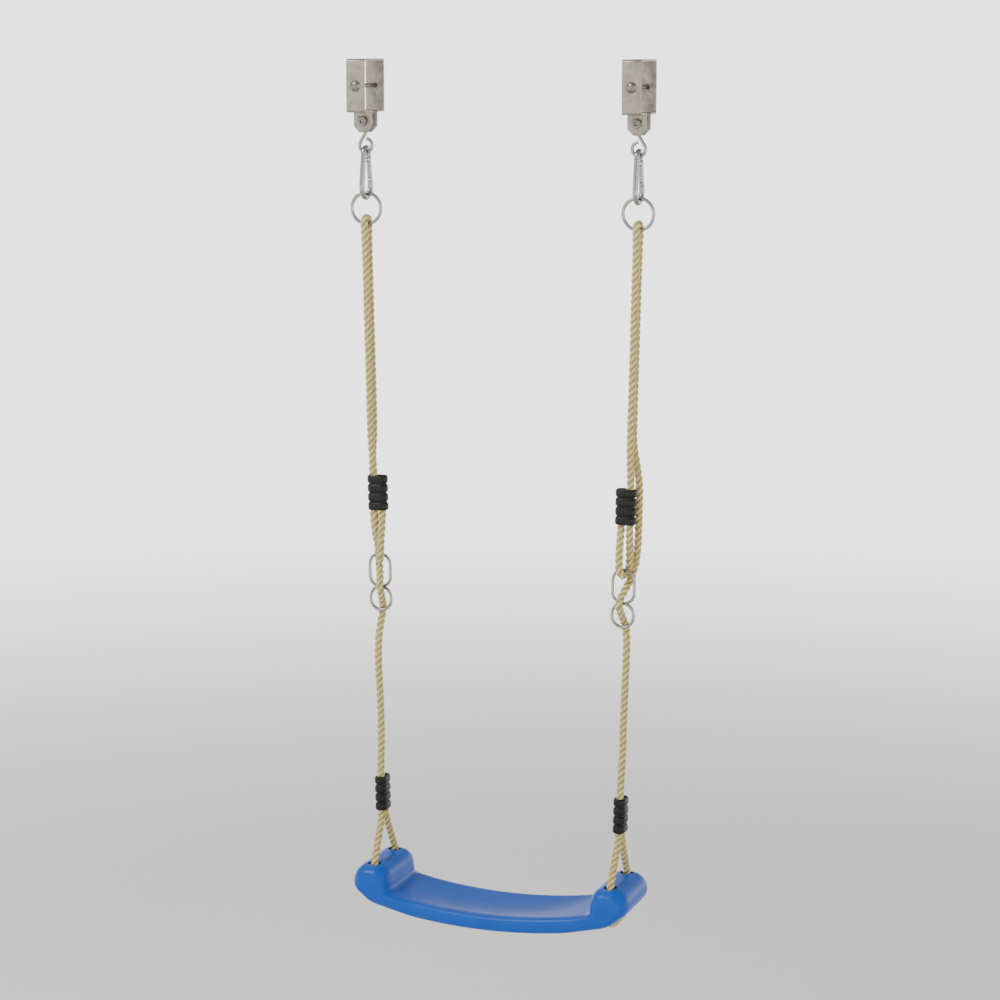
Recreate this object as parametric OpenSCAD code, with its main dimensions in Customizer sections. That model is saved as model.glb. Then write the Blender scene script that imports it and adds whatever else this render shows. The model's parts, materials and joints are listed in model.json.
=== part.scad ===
// Garden board swing: a moulded seat on two adjustable ropes, hung from a square beam by two steel clamps.
// X runs along the beam, Y away from the sitter's front, Z up. The origin is midway between the clamps,
// on the beam's centre plane, at the level of the beam's underside.

/* [Beam clamps] */
// Width of the wooden beam, front to back
beam_w = 70; // [58:1:90]
// Height of the wooden beam
beam_h = 70; // [58:1:90]
// Distance between the two clamps
hanger_spacing = 413; // [340:1:500]
// Width of the steel strap
strap_w = 28; // [22:1:36]
// Thickness of the steel strap
strap_t = 3; // [2:0.5:3.5]
// How far the two ears reach below the beam
ear_drop = 32; // [29:1:40]
// Free space between the two ears
ear_gap = 17; // [14:1:24]
// Diameter of the bolt through the beam
beam_bolt_d = 6; // [5:1:8]
// Diameter of the bolt between the ears
clevis_bolt_d = 8; // [6:1:8]

/* [Hook, snap hook and ring] */
// Wire of the S hook
hook_wire_d = 5; // [4:0.5:5.5]
// Outer width of the hook's lower loop
hook_loop_w = 24.5; // [22:0.5:28]
// Height between the centres of the hook's two loops
hook_reach = 35.5; // [32:0.5:44]
// Wire of the snap hook
snap_wire_d = 8; // [7:0.5:8]
// Overall length of the snap hook
snap_l = 80; // [76:1:100]
// Outer width of the snap hook at its narrow top
snap_top_w = 26; // [25:1:28]
// Outer width of the snap hook at its wide bottom
snap_bottom_w = 40; // [38:1:44]
// Wire of the round ring
ring_wire_d = 5; // [4:0.5:6]
// Outer diameter of the round ring
ring_d = 50; // [46:1:60]

/* [Rope fittings] */
// Diameter of the rope
rope_d = 12; // [10:1:12]
// Wall of the rubber sleeves round the rope
sleeve_wall = 3.2; // [2.5:0.1:4.5]
// Height of the rubber sleeves
sleeve_h = 54; // [44:1:60]
// Ribs on each sleeve
sleeve_ribs = 4; // [3:1:5]
// Wire of the figure-eight adjuster
adjuster_wire_d = 4.5; // [3.5:0.5:5]
// Outer width of the adjuster
adjuster_w = 37; // [35:1:44]
// Outer height of the adjuster
adjuster_h = 89; // [86:1:96]

/* [Seat] */
// Overall length of the seat
seat_l = 429; // [415:1:520]
// Depth of the seat, front to back
seat_depth = 130; // [122:1:180]
// Distance between the rope holes of the two ends
hole_spacing = 368; // [360:1:376]
// Thickness of the seat's pan at its middle
pan_t = 24; // [22:1:28]
// Radius of the rolled front and rear edges
edge_r = 10; // [6:0.5:10.5]
// How far the pan's top is dished between its rolled edges
dish = 4; // [0:0.5:6]
// How much of each raised end is rounded off at the front and rear
end_dome = 26; // [16:1:28]

/* [Hidden] */
$fn = 48;
LEFT = -1;
RIGHT = 1;
steel = "#8f9194";
dark_steel = "#77797c";
hemp = "#c8b878";
black_rubber = "#2b2725";
nylon = "#e8e6df";
seat_blue = "#0b6cb5";

// Clearances
beam_fit = 0.5;
touch = 0.3;
slide_fit = 0.1;
bolt_fit = 0.3;
thread_fit = 0.05;

// Clamp
bend_r = 1.5;
strap_in = beam_w / 2 + beam_fit;
strap_out = strap_in + strap_t;
crown_z = beam_h + beam_fit;
ear_in = ear_gap / 2;
ear_out = ear_in + strap_t;
ear_chamfer = 9;
clevis_z = -15.5;
beam_bolt_z = beam_h / 2;
dome_d = beam_bolt_d * 2.65;
dome_h = beam_bolt_d * 0.6;
neck_h = strap_t - 0.4;
washer_d = beam_bolt_d * 2.4;
washer_t = 1.6;
strap_nut_af = beam_bolt_d * 5 / 3;
strap_nut_h = beam_bolt_d * 0.85;
thread_out = 3;
button_d = clevis_bolt_d * 1.75;
button_h = clevis_bolt_d * 0.55;
socket_af = clevis_bolt_d * 0.625;
socket_depth = button_h * 0.6;
clevis_nut_af = clevis_bolt_d * 13 / 8;
clevis_nut_h = clevis_bolt_d;

// S hook: two round loops joined by a straight diagonal that touches both
bush_d = clevis_bolt_d + 4;
hook_r = hook_wire_d / 2;
hook_up_r = bush_d / 2 + touch + hook_r;
hook_low_r = hook_loop_w / 2 - hook_r;
hook_low_z = clevis_z - hook_reach;
hook_lean = asin((hook_up_r + hook_low_r) / hook_reach);
hook_end_gap = 0.6;
hook_up_turn = 360 - acos(1 - (hook_wire_d + hook_end_gap) / hook_up_r);
hook_low_turn = 360 - acos(1 - (hook_wire_d + hook_end_gap) / hook_low_r);
swing_z = hook_low_z - hook_low_r;

// Snap hook: a pear-shaped wire loop across the hook, its gate on the far side
snap_r = snap_wire_d / 2;
snap_top_r = snap_top_w / 2 - snap_r;
snap_bottom_r = snap_bottom_w / 2 - snap_r;
snap_top_z = swing_z + hook_r + touch + snap_r - snap_top_r;
snap_bottom_z = snap_top_z + snap_top_r + snap_r - snap_l + snap_r + snap_bottom_r;
snap_reach = snap_top_z - snap_bottom_z;
snap_lean = asin((snap_bottom_r - snap_top_r) / snap_reach);
snap_leg = sqrt(pow(snap_reach, 2) - pow(snap_bottom_r - snap_top_r, 2));
sway_z = snap_bottom_z - snap_bottom_r;
tongue_t = 4;
tongue_r = snap_r - 0.6;
gate_r = snap_r - 0.3;
pin_d = 2.4;
pin_s = snap_r + 3;
gate_end_s = snap_leg - 5.4;
nose_s = gate_end_s + 0.6;
tongue_l = 5.2;
slot_t = tongue_t + 2 * touch;
gate_bore_d = 3.8;
plunger_d = gate_bore_d - 2 * slide_fit;
plunger_l = 4.5;
plunger_s = pin_s + snap_r + touch;
gate_slot_s = pin_s + snap_r + 2;
spring_wire_d = 0.6;
spring_l = 9;
spring_turns = 6;
spring_s = plunger_s + plunger_l + slide_fit;

// Round ring, hung on the snap hook's lower bend
ring_r = ring_wire_d / 2;
ring_path_r = ring_d / 2 - ring_r;
ring_z = sway_z + snap_r + touch + ring_r - ring_path_r;
bight_z = ring_z - ring_path_r;

// The line that each rope hangs along, from the ring to the seat's rope holes
rope_r = rope_d / 2;
seat_pivot_z = -1146;
line_top_x = hanger_spacing / 2;
line_lean = (hanger_spacing - hole_spacing) / 2 / (bight_z - seat_pivot_z);
lean_angle = atan(line_lean);
strand = rope_r + 0.2;

// Rope fittings along the line
upper_sleeve_z = -560;
lower_sleeve_z = -1016;
inset = 6;
adjuster_r = adjuster_wire_d / 2;
adjuster_path_r = adjuster_w / 2 - adjuster_r;
adjuster_top_z = -652;
adjuster_low_h = 35;
waist_z = adjuster_top_z - (adjuster_h - adjuster_wire_d - adjuster_low_h);
eye_r = adjuster_r + rope_r + 2 * touch;
bight_r = ring_r + rope_r + slide_fit;

// Rope route in one side's frame: distance out from the hanging line, then Y and Z.
// It starts at the tail inside the upper sleeve, forms the eye round the adjuster, climbs through the
// sleeve to the ring, comes down behind, weaves through the adjuster and ends in the lower sleeve.
tail = [[-12.2, 0, -545], [-12.2, 0, -565], [-12.2, 0, -590], [-12, -3.5, -608], [-11.5, -7.5, -630]];
eye_back = [[-0.5, 7.5, -630], [0, 3.5, -608], [0.2, 0, -590], [0.2, 0, -560], [0.2, 0, -530],
    [0, -3, -505], [0, -6.3, -475], [0, -6.3, -420], [0, -6.3, -360], [0, -6.3, -300], [0, -6.3, -240],
    [0, -7, -195]];
down = [[0, 7, -195], [0, 6.3, -240], [0, 6.3, -300], [0, 6.3, -360], [0, 6.3, -420], [1, 6.8, -470],
    [5, 11, -500], [8, 15.8, -528], [9, 16.5, -560], [9, 16.5, -592], [8, 18, -620], [5, 20.5, -645],
    [1, 14, -666], [-5, 1.5, -684], [-9, -10.4, -702], [-7.5, 0, -720], [-4.5, 10.4, -737],
    [-1.5, 8.5, -755], [0.5, 3, -780], [1, 0, -815], [0, 0, -870], [0, 0, -925], [0, -3, -958],
    [0, -6.2, -985], [0, -6.2, -1015], [0, -6.2, -1046], [0, -13, -1064], [0, -24, -1084],
    [0, -34, -1102]];
in_seat = [[0, -40.5, -1115], [0, -43, -1130], [0, -43, -1146], [0, -40.5, -1160], [0, -33, -1171],
    [0, -21, -1175.5], [0, 0, -1176], [0, 21, -1175.5], [0, 33, -1171], [0, 40.5, -1160], [0, 43, -1146],
    [0, 43, -1130], [0, 40.5, -1115]];
bridle_back = [[0, 34, -1102], [0, 24, -1084], [0, 13, -1064], [0, 6.2, -1046], [0, 6.2, -1020],
    [0, 6.2, -996]];

// Seat: side outline of the curved pan and its raised ends
seat_low = -1195;
pan_top = seat_low + pan_t;
pan_curve = 771;
base_curve = 830;
end_x = seat_l / 2;
boss_in = 157;
boss_top = -1115;
pan_end = 138;
dome_x = end_x - 30;
dome_z = boss_top - 36;

function line_x(z) = line_top_x - line_lean * (bight_z - z);
function placed(side, route) = [for (p = route) [side * (line_x(p[2]) + p[0]), p[1], p[2]]];
// Half a turn round a wire that runs along X, passing below it (sign -1) or above it (sign 1)
function half_turn(out_a, out_b, z, r, start, sign) = [for (k = [0 : 8])
    [out_a + (out_b - out_a) * k / 8, r * start * cos(22.5 * k), z + sign * r * sin(22.5 * k)]];
function rope_route(side) = placed(side, concat(tail,
    half_turn(-inset - 4.5, -inset + 4.5, adjuster_top_z, eye_r, -1, -1), eye_back,
    half_turn(0, 0, bight_z, bight_r, -1, 1), down, in_seat, bridle_back));

function unit(v) = v / norm(v);
function tangent(p, i) = unit(p[min(i + 1, len(p) - 1)] - p[max(i - 1, 0)]);
function ring_of(p, i, r, across, sides) =
    let (t = tangent(p, i), n = unit(cross(t, across)), b = cross(t, n))
    [for (k = [0 : sides - 1]) p[i] + r * (cos(360 * k / sides) * n + sin(360 * k / sides) * b)];

// Points of a round loop in the XZ plane, from one angle to another
function loop_points(z, r, from, to, steps) = [for (k = [0 : steps]) let (a = from + (to - from) * k / steps)
    [r * cos(a), 0, z + r * sin(a)]];

// A round tube along a route; radii holds one radius for each point, and across is never along the route
module tube(route, radii, across = [1, 0, 0], sides = 10) {
    last = len(route) - 1;
    points = [for (i = [0 : last]) each ring_of(route, i, radii[i], across, sides)];
    skin = [for (i = [0 : last - 1]) for (k = [0 : sides - 1]) let (a = i * sides + k,
        b = i * sides + (k + 1) % sides) each [[a, b + sides, b], [a, a + sides, b + sides]]];
    polyhedron(points, concat([[for (k = [0 : sides - 1]) k]], skin,
        [[for (k = [sides - 1 : -1 : 0]) last * sides + k]]));
}

// A ring segment of round wire in the XZ plane, from angle a through sweep
module wire_arc(r, d, a, sweep) {
    rotate([90, 0, 0])
        rotate([0, 0, a])
            rotate_extrude(angle = sweep)
                translate([r, 0])
                    circle(d = d);
}

module at_hanger(side) {
    translate([side * hanger_spacing / 2, 0, 0])
        children();
}

// The leaning frame of one side's rope, at height z
module on_line(side, z, out = 0) {
    translate([side * (line_x(z) + out), 0, z])
        rotate([0, side * lean_angle, 0])
            children();
}

// A cylinder along Y from y0 to y1
module bar_y(d, y0, y1) {
    translate([0, y1, 0])
        rotate([90, 0, 0])
            cylinder(d = d, h = y1 - y0);
}

module hex_y(af, y0, y1) {
    translate([0, y1, 0])
        rotate([90, 0, 0])
            cylinder(d = af / cos(30), h = y1 - y0, $fn = 6);
}

// A quarter of the strap's bend, centred at p and turned by a
module strap_bend(p, a) {
    translate(p)
        rotate(a)
            intersection() {
                difference() {
                    circle(r = bend_r + strap_t);
                    circle(r = bend_r);
                }
                square(2 * (bend_r + strap_t));
            }
}

// Half of the strap's side outline, Y to the right and Z up
module strap_half() {
    ear_bend = ear_out + bend_r;
    leg_bend = strap_in - bend_r;
    translate([ear_in, -ear_drop])
        square([strap_t, ear_drop - strap_t - bend_r]);
    strap_bend([ear_bend, -strap_t - bend_r], 90);
    translate([ear_bend, -strap_t])
        square([leg_bend - ear_bend, strap_t]);
    strap_bend([leg_bend, bend_r], 270);
    translate([strap_in, bend_r])
        square([strap_t, crown_z - 2 * bend_r]);
    strap_bend([leg_bend, crown_z - bend_r], 0);
    translate([0, crown_z])
        square([leg_bend, strap_t]);
}

module strap(side) {
    color(steel)
        at_hanger(side)
            difference() {
                rotate([90, 0, 90])
                    translate([0, 0, -strap_w / 2])
                        linear_extrude(strap_w)
                            union() {
                                strap_half();
                                mirror([1, 0])
                                    strap_half();
                            }
                for (s = [-1, 1])
                    translate([s * strap_w / 2, 0, -ear_drop])
                        rotate([0, 45, 0])
                            cube([ear_chamfer * sqrt(2), 4 * ear_out, ear_chamfer * sqrt(2)], center = true);
                translate([0, 0, clevis_z])
                    bar_y(clevis_bolt_d + 2 * bolt_fit, -2 * ear_out, 2 * ear_out);
                translate([0, 0, beam_bolt_z])
                    bar_y(beam_bolt_d + 2 * bolt_fit, 0, 2 * strap_out);
                translate([0, -strap_out, beam_bolt_z])
                    cube([beam_bolt_d + 2 * bolt_fit, 3 * strap_t, beam_bolt_d + 2 * bolt_fit],
                        center = true);
            }
}

module strap_bolt(side) {
    bolt_end = strap_out + washer_t + strap_nut_h + thread_out;
    dome_r = (pow(dome_d / 2, 2) + pow(dome_h, 2)) / (2 * dome_h);
    color(dark_steel)
        at_hanger(side)
            translate([0, 0, beam_bolt_z]) {
                intersection() {
                    translate([0, -strap_out - dome_h + dome_r, 0])
                        sphere(r = dome_r);
                    bar_y(dome_d + 2, -strap_out - 2 * dome_h, -strap_out);
                }
                translate([-beam_bolt_d / 2, -strap_out, -beam_bolt_d / 2])
                    cube([beam_bolt_d, neck_h, beam_bolt_d]);
                bar_y(beam_bolt_d, -strap_out, bolt_end);
            }
}

module strap_washer(side) {
    color(steel)
        at_hanger(side)
            translate([0, 0, beam_bolt_z])
                difference() {
                    bar_y(washer_d, strap_out, strap_out + washer_t);
                    bar_y(beam_bolt_d + 2 * bolt_fit, strap_out - 1, strap_out + washer_t + 1);
                }
}

module strap_nut(side) {
    nut_y = strap_out + washer_t;
    color(dark_steel)
        at_hanger(side)
            translate([0, 0, beam_bolt_z])
                difference() {
                    hex_y(strap_nut_af, nut_y, nut_y + strap_nut_h);
                    bar_y(beam_bolt_d + 2 * thread_fit, nut_y - 1, nut_y + strap_nut_h + 1);
                }
}

module clevis_bolt(side) {
    color(dark_steel)
        at_hanger(side)
            translate([0, 0, clevis_z])
                difference() {
                    union() {
                        bar_y(button_d, -ear_out - button_h, -ear_out);
                        bar_y(clevis_bolt_d, -ear_out, ear_out + clevis_nut_h + thread_out);
                    }
                    hex_y(socket_af, -ear_out - button_h - 1, -ear_out - button_h + socket_depth);
                }
}

module clevis_nut(side) {
    color(dark_steel)
        at_hanger(side)
            translate([0, 0, clevis_z])
                difference() {
                    hex_y(clevis_nut_af, ear_out, ear_out + clevis_nut_h);
                    bar_y(clevis_bolt_d + 2 * thread_fit, ear_out - 1, ear_out + clevis_nut_h + 1);
                }
}

module hook_bush(side) {
    color(nylon)
        at_hanger(side)
            translate([0, 0, clevis_z])
                difference() {
                    bar_y(bush_d, -ear_in + slide_fit, ear_in - slide_fit);
                    bar_y(clevis_bolt_d + 2 * thread_fit, -ear_in, ear_in);
                }
}

// The left hook's diagonal runs from upper right to lower left; the right hook mirrors it
module hook(side) {
    low_turn = 180 - hook_lean;
    route = [for (p = concat(loop_points(clevis_z, hook_up_r, hook_up_turn - hook_lean, -hook_lean, 24),
        loop_points(hook_low_z, hook_low_r, low_turn, low_turn + hook_low_turn, 24)))
        [-side * p[0], p[1], p[2]]];
    color(steel)
        at_hanger(side)
            tube(route, [for (p = route) hook_r], [0, 1, 0], 16);
}

// Frame of the snap hook's far leg: X across, Y outward, and -Z down the leg from its upper end
module on_leg(side) {
    at_hanger(side)
        translate([0, 0, snap_top_z])
            rotate([snap_lean, 0, 0])
                translate([0, snap_top_r, 0])
                    children();
}

// A point on the far leg's centre line, s down from its upper end
function far_leg(s) = [0, snap_top_r * cos(snap_lean) + s * sin(snap_lean),
    snap_top_z + snap_top_r * sin(snap_lean) - s * cos(snap_lean)];
function bend_points(z, r, from, to, steps) = [for (k = [0 : steps]) let (a = from + (to - from) * k / steps)
    [0, r * cos(a), z + r * sin(a)]];

module snap_hook(side) {
    route = concat([far_leg(pin_s - snap_r)],
        bend_points(snap_top_z, snap_top_r, snap_lean, 180 - snap_lean, 12),
        bend_points(snap_bottom_z, snap_bottom_r, 180 - snap_lean, 360 + snap_lean, 16), [far_leg(nose_s)]);
    color(steel)
        difference() {
            union() {
                at_hanger(side)
                    tube(route, [for (p = route) snap_r], sides = 16);
                on_leg(side) {
                    translate([-tongue_t / 2, -tongue_r, -pin_s])
                        cube([tongue_t, 2 * tongue_r, pin_s - 1]);
                    translate([-tongue_t / 2, 0, -pin_s])
                        rotate([0, 90, 0])
                            cylinder(r = tongue_r, h = tongue_t);
                    translate([-tongue_t / 2, -tongue_r, -nose_s - 1])
                        cube([tongue_t, 2 * tongue_r, tongue_l + 1]);
                }
            }
            on_leg(side)
                translate([-tongue_t, 0, -pin_s])
                    rotate([0, 90, 0])
                        cylinder(d = pin_d + 2 * thread_fit, h = 2 * tongue_t);
        }
}

module gate(side) {
    slot_floor_s = nose_s - tongue_l - 0.5;
    color(dark_steel)
        on_leg(side)
            difference() {
                union() {
                    translate([0, 0, -gate_end_s])
                        cylinder(r = gate_r, h = gate_end_s - pin_s);
                    translate([0, 0, -pin_s])
                        sphere(r = gate_r);
                }
                translate([-slot_t / 2, -snap_wire_d, -gate_slot_s])
                    cube([slot_t, 2 * snap_wire_d, gate_slot_s]);
                translate([-slot_t / 2, -snap_wire_d, -gate_end_s - 1])
                    cube([slot_t, 2 * snap_wire_d, gate_end_s - slot_floor_s + 1]);
                translate([-snap_wire_d, 0, -pin_s])
                    rotate([0, 90, 0])
                        cylinder(d = pin_d + 2 * thread_fit, h = 2 * snap_wire_d);
                translate([0, 0, -spring_s - spring_l - slide_fit])
                    cylinder(d = gate_bore_d, h = spring_l + plunger_l + 2);
            }
}

module gate_pin(side) {
    color(steel)
        on_leg(side)
            translate([-gate_r, 0, -pin_s])
                rotate([0, 90, 0])
                    cylinder(d = pin_d, h = 2 * gate_r);
}

module gate_plunger(side) {
    color(steel)
        on_leg(side)
            translate([0, 0, -plunger_s - plunger_l])
                cylinder(d = plunger_d, h = plunger_l);
}

module gate_spring(side) {
    steps = 8 * spring_turns;
    coil_r = (plunger_d - spring_wire_d) / 2;
    rise = spring_l - spring_wire_d - 0.2;
    color(steel)
        on_leg(side)
            translate([0, 0, -spring_s - spring_l + spring_wire_d / 2 + 0.1])
                tube([for (k = [0 : steps]) [coil_r * cos(45 * k), coil_r * sin(45 * k), rise * k / steps]],
                    [for (k = [0 : steps]) spring_wire_d / 2], [0, 0, 1], 6);
}

module round_ring(side) {
    color(steel)
        at_hanger(side)
            translate([0, 0, ring_z])
                wire_arc(ring_path_r, ring_wire_d, 0, 360);
}

module rope(side) {
    route = rope_route(side);
    color(hemp)
        tube(route, [for (p = route) rope_r], sides = 10);
}

// A long-round tube, its length along X, with rounded ribs
module ribbed_sleeve() {
    body_r = strand + slide_fit + sleeve_wall - 1.3;
    rib_pitch = sleeve_h / sleeve_ribs;
    rib_h = rib_pitch * 0.7;
    difference() {
        union() {
            long_round(body_r, sleeve_h - 2);
            for (k = [0 : sleeve_ribs - 1])
                translate([0, 0, (k + 0.5) * rib_pitch - sleeve_h / 2])
                    rounded_rib(body_r + 1.3, rib_h);
        }
        long_round(strand + slide_fit, 2 * sleeve_h);
    }
}

module long_round(r, h) {
    for (s = [-1, 1])
        translate([s * strand, 0, -h / 2])
            cylinder(r = r, h = h);
    cube([2 * strand, 2 * r, h], center = true);
}

module rounded_rib(r, h) {
    bulge = 1.2;
    for (s = [-1, 1])
        translate([s * strand, 0, 0])
            rotate_extrude()
                rib_half(r, h, bulge);
    for (s = [0, 180])
        rotate([90, 0, 90 + s])
            translate([0, 0, -strand])
                linear_extrude(2 * strand)
                    rib_half(r, h, bulge);
}

module rib_half(r, h, bulge) {
    translate([0, -h / 2])
        square([r - bulge, h]);
    translate([0, -h / 2 + bulge])
        square([r, h - 2 * bulge]);
    for (s = [-1, 1])
        translate([r - bulge, s * (h / 2 - bulge)])
            circle(r = bulge);
}

module upper_sleeve(side) {
    color(black_rubber)
        on_line(side, upper_sleeve_z, -inset)
            ribbed_sleeve();
}

module lower_sleeve(side) {
    color(black_rubber)
        on_line(side, lower_sleeve_z)
            rotate([0, 0, 90])
                ribbed_sleeve();
}

// One long-round wire loop of the adjuster, top and bottom given along its centre line
module wire_loop(z_top, z_bottom) {
    straight = z_top - z_bottom - 2 * adjuster_path_r;
    translate([0, 0, z_top - adjuster_path_r])
        wire_arc(adjuster_path_r, adjuster_wire_d, 0, 180);
    translate([0, 0, z_bottom + adjuster_path_r])
        wire_arc(adjuster_path_r, adjuster_wire_d, 180, 180);
    for (s = [-1, 1])
        translate([s * adjuster_path_r, 0, z_bottom + adjuster_path_r])
            cylinder(d = adjuster_wire_d, h = straight);
}

module adjuster(side) {
    color(steel)
        on_line(side, waist_z, -inset) {
            wire_loop(adjuster_top_z - waist_z, 0);
            wire_loop(0, -adjuster_low_h);
        }
}

// Points of an arc that rounds corner b between a and c with radius r
function rounded(a, b, c, r, n) = let (u = unit(a - b), v = unit(c - b), half = acos(u * v) / 2,
    m = b + unit(u + v) * r / sin(half), p = b + u * r / tan(half), q = b + v * r / tan(half),
    sweep = 180 - 2 * half, turn = cross(p - m, q - m) > 0 ? 1 : -1)
    [for (k = [0 : n]) let (t = turn * sweep * k / n)
        m + [(p - m)[0] * cos(t) - (p - m)[1] * sin(t), (p - m)[0] * sin(t) + (p - m)[1] * cos(t)]];

// Right half of the seat's side outline, from the pan's middle over the raised end to the base's middle
function pan_z(x) = pan_top + x * x / (2 * pan_curve);
function base_z(x) = seat_low + x * x / (2 * base_curve);
base_end = end_x - 30;
corners = [[pan_end, pan_z(pan_end)], [boss_in - 2, pan_z(boss_in - 2)], [boss_in + 3, boss_top],
    [end_x, boss_top], [end_x, boss_top - 34], [base_end, base_z(base_end)],
    [base_end - 30, base_z(base_end - 30)]];
corner_r = [11, 20, 24, 20, 60];
function half_outline() = concat([for (k = [0 : 6]) [pan_end * k / 6.5, pan_z(pan_end * k / 6.5)]],
    [for (k = [0 : 4]) each rounded(corners[k], corners[k + 1], corners[k + 2], corner_r[k], 5)],
    [for (k = [6 : -1 : 0]) [pan_end * k / 6, base_z(pan_end * k / 6)]]);
function outline() = let (h = half_outline()) concat(h,
    [for (k = [len(h) - 2 : -1 : 1]) [-h[k][0], h[k][1]]]);
function inward(p, i) = let (n = len(p), t = unit(p[(i + 1) % n] - p[(i + n - 1) % n])) [t[1], -t[0]];
function dish_at(x, z, y) = let (side = max(0, 1 - pow(y / (seat_depth / 2 - 12), 2)),
    along = max(0, 1 - pow(x / pan_end, 4))) z > base_z(x) + pan_t / 2 ? dish * side * along : 0;
// Rows of the outline from front to back, closer together towards the rolled edges
function depth_rows() = [for (a = [-90 : 9 : 90]) seat_depth / 2 * sin(a)];
// Share of the outline that is left at depth y where the last r of the depth is rounded
function left_at(y, r) =
    let (over = max(0, abs(y) - (seat_depth / 2 - r)))
    sqrt(max(0, 1 - pow(over / r, 2)));
// The pan's edges are rolled to edge_r; the raised ends close in domes round their own middle
function drawn_in(p, i, y) = let (q = p[i], side = sign(q[0]), middle = [side * dome_x, dome_z],
    w = min(1, max(0, (abs(q[0]) - pan_end + 12) / 30)),
    dome = (middle - q) * (1 - max(0.25, left_at(y, end_dome))))
    q + (1 - w) * inward(p, i) * edge_r * (1 - left_at(y, edge_r)) + w * dome;

// Facets across an end row of n points: a ladder between its top and base, so that none leaves the outline
function end_faces(n) = let (m = n / 2 + 1) [for (k = [0 : m / 2 - 2])
    for (q = [[k, k + 1, m - 2 - k, m - 1 - k], [m - 1 + k, m + k, n - 1 - k, (n - k) % n]])
        each [[q[0], q[1], q[2]], [q[0], q[2], q[3]]]];

module seat_form() {
    p = outline();
    n = len(p);
    rows = depth_rows();
    last = len(rows) - 1;
    points = [for (y = rows) for (i = [0 : n - 1]) let (q = drawn_in(p, i, y))
        [q[0], y, q[1] - dish_at(p[i][0], p[i][1], y)]];
    skin = [for (j = [0 : last - 1]) for (i = [0 : n - 1]) let (a = j * n + i, b = j * n + (i + 1) % n)
        each [[a, b + n, b], [a, a + n, b + n]]];
    rear = [for (f = end_faces(n)) [for (i = [2 : -1 : 0]) last * n + f[i]]];
    polyhedron(points, concat(end_faces(n), skin, rear));
}

// Room round the rope inside the seat, wider away from the level where the seat tilts
module rope_room(side) {
    route = placed(side, concat([[0, -33.5, -1101]], in_seat, [[0, 33.5, -1101]]));
    tube(route, [for (p = route) rope_r + 0.5 + 0.11 * abs(p[2] - seat_pivot_z)], sides = 16);
}

module seat() {
    color(seat_blue)
        difference() {
            seat_form();
            rope_room(LEFT);
            rope_room(RIGHT);
        }
}

strap(LEFT);  // left_strap
strap(RIGHT);  // right_strap
strap_bolt(LEFT);  // left_strap_bolt
strap_bolt(RIGHT);  // right_strap_bolt
strap_washer(LEFT);  // left_strap_washer
strap_washer(RIGHT);  // right_strap_washer
strap_nut(LEFT);  // left_strap_nut
strap_nut(RIGHT);  // right_strap_nut
clevis_bolt(LEFT);  // left_clevis_bolt
clevis_bolt(RIGHT);  // right_clevis_bolt
clevis_nut(LEFT);  // left_clevis_nut
clevis_nut(RIGHT);  // right_clevis_nut
hook_bush(LEFT);  // left_hook_bush
hook_bush(RIGHT);  // right_hook_bush
hook(LEFT);  // left_hook
hook(RIGHT);  // right_hook
snap_hook(LEFT);  // left_snap_hook
snap_hook(RIGHT);  // right_snap_hook
gate(LEFT);  // left_gate
gate(RIGHT);  // right_gate
gate_pin(LEFT);  // left_gate_pin
gate_pin(RIGHT);  // right_gate_pin
gate_plunger(LEFT);  // left_gate_plunger
gate_plunger(RIGHT);  // right_gate_plunger
gate_spring(LEFT);  // left_gate_spring
gate_spring(RIGHT);  // right_gate_spring
round_ring(LEFT);  // left_ring
round_ring(RIGHT);  // right_ring
rope(LEFT);  // left_rope
rope(RIGHT);  // right_rope
upper_sleeve(LEFT);  // left_upper_sleeve
upper_sleeve(RIGHT);  // right_upper_sleeve
adjuster(LEFT);  // left_adjuster
adjuster(RIGHT);  // right_adjuster
lower_sleeve(LEFT);  // left_lower_sleeve
lower_sleeve(RIGHT);  // right_lower_sleeve
seat();
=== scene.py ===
"""A garden board swing: laid ropes, steel fittings and a blow-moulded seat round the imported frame."""

import json
import math

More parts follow.
